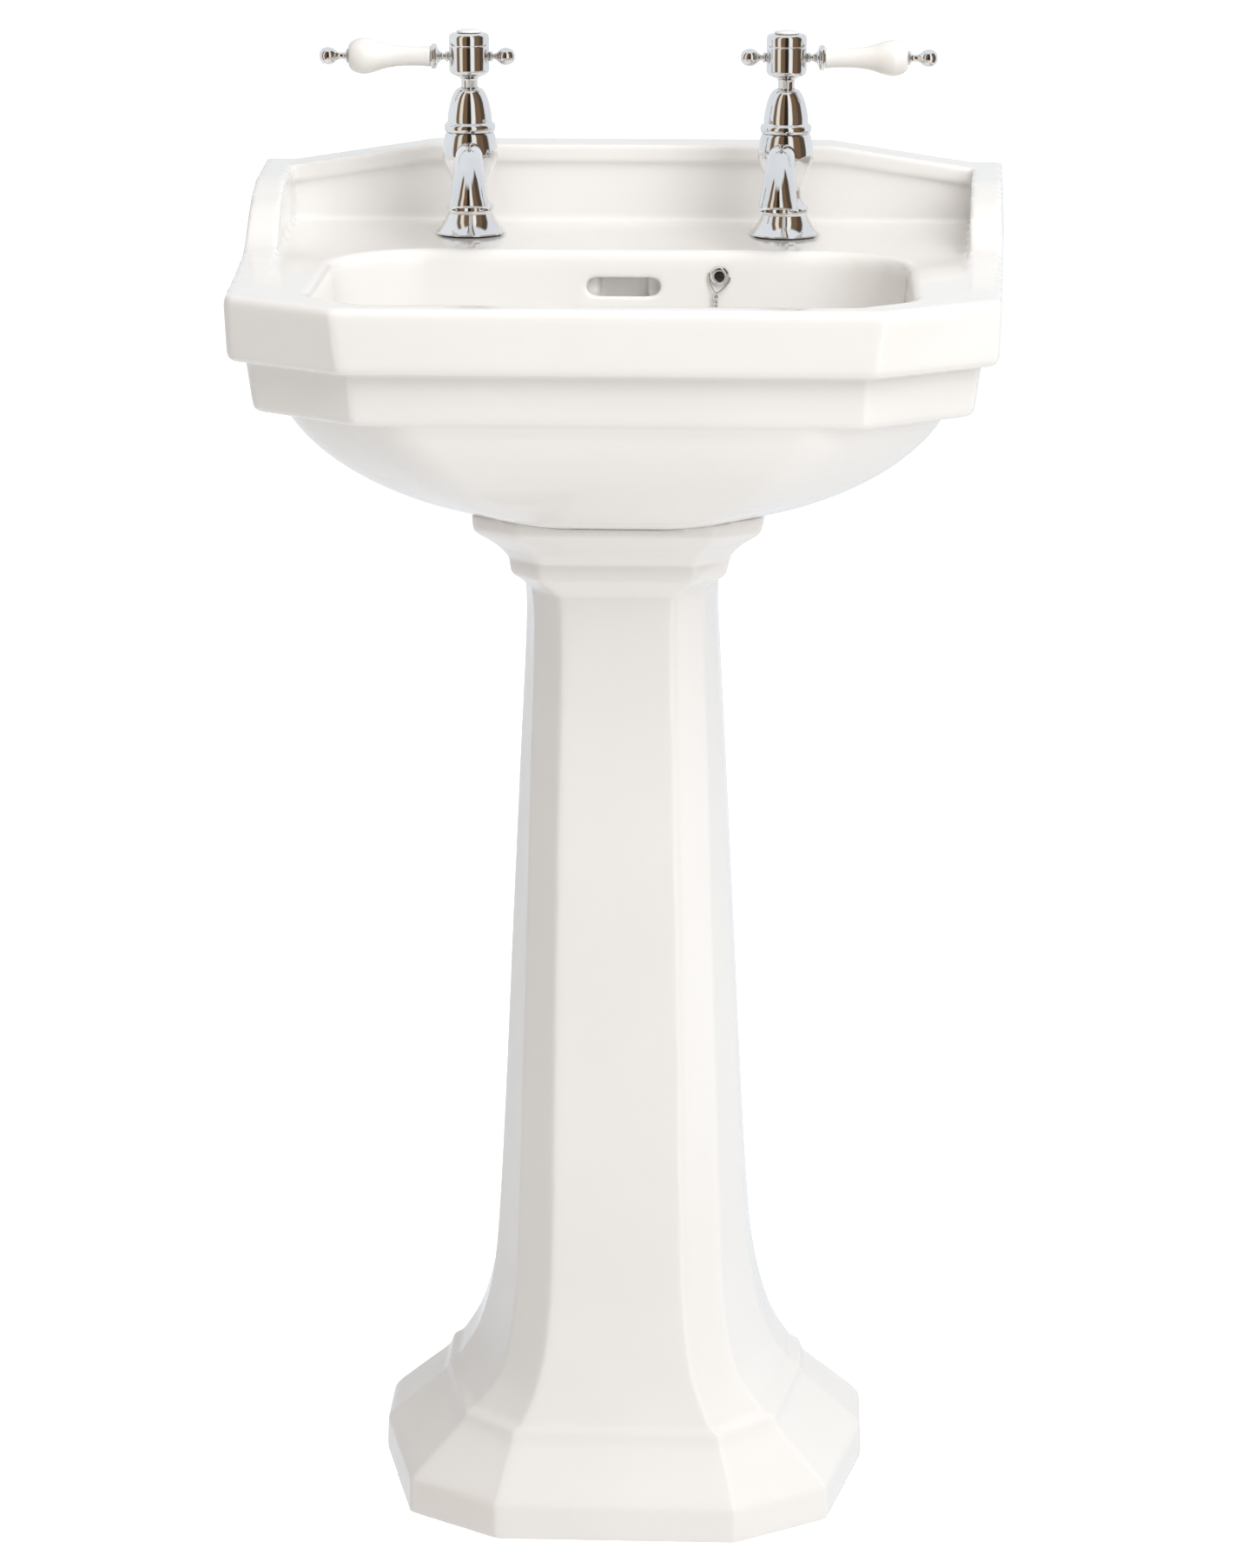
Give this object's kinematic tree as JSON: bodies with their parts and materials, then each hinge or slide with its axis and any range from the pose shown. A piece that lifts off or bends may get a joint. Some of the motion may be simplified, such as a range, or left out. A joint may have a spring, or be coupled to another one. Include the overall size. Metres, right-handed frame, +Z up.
{
  "type": "pedestal sink",
  "caption": "Octagonal vitreous china basin with upstand on a faceted pedestal, with pillar lever taps, overflow, plug and chain, waste and bottle trap.",
  "frame": {"origin": "on the floor, under the middle of the object's plan", "axes": "+X to the right seen from the front, +Y towards the wall, +Z up"},
  "size_m": [0.5226, 0.416, 1.0113],
  "materials": {
    "china": "glossy warm-white glaze",
    "porcelain": "glossy white porcelain",
    "chrome": "polished chrome plate",
    "brass": "machined brass",
    "rubber": "matt black rubber",
    "black_plastic": "gloss black insert",
    "white_plastic": "matt white plastic"
  },
  "bodies": {
    "root": {"basin": "china", "bead_chain": "chrome", "chain_coupling": "chrome", "chain_stay": "chrome", "cold_back_nut": "brass", "cold_bonnet": "chrome", "cold_foot_seal": "rubber", "cold_tap_body": "chrome", "cold_tap_washer": "white_plastic", "cold_valve": "brass", "hot_back_nut": "brass", "hot_bonnet": "chrome", "hot_foot_seal": "rubber", "hot_tap_body": "chrome", "hot_tap_washer": "white_plastic", "hot_valve": "brass", "outlet_pipe": "chrome", "pedestal": "china", "stay_insert": "black_plastic", "stay_link": "chrome", "stay_nut": "brass", "trap_body": "chrome", "trap_cup": "chrome", "trap_inlet_nut": "chrome", "trap_outlet_nut": "chrome", "waste_back_nut": "brass", "waste_body": "chrome", "waste_flange_seal": "rubber", "waste_washer": "rubber"},
    "hot_handle": {"hot_spindle": "brass", "hot_handle_hub": "chrome", "hot_index_disc": "porcelain", "hot_lever_ferrule": "chrome", "hot_lever_grip": "porcelain", "hot_lever_finial": "chrome", "hot_counter_knob": "chrome"},
    "cold_handle": {"cold_spindle": "brass", "cold_handle_hub": "chrome", "cold_index_disc": "porcelain", "cold_lever_ferrule": "chrome", "cold_lever_grip": "porcelain", "cold_lever_finial": "chrome", "cold_counter_knob": "chrome"},
    "plug": {"plug_stopper": "rubber", "plug_cap": "chrome", "plug_eyelet": "chrome"}
  },
  "joints": [
    {"name": "hot_handle_turn", "type": "hinge", "parent": "root", "child": "hot_handle", "pos_m": [-0.107, 0.105, 0.993], "axis": [0, 0, 1], "range_deg": [0, 90]},
    {"name": "cold_handle_turn", "type": "hinge", "parent": "root", "child": "cold_handle", "pos_m": [0.107, 0.105, 0.993], "axis": [0, 0, 1], "range_deg": [-90, 0]},
    {"name": "plug_lift", "type": "slide", "parent": "root", "child": "plug", "axis": [0, 0, 1], "range_m": [0, 0.06], "deforming": ["bead_chain"]}
  ]
}
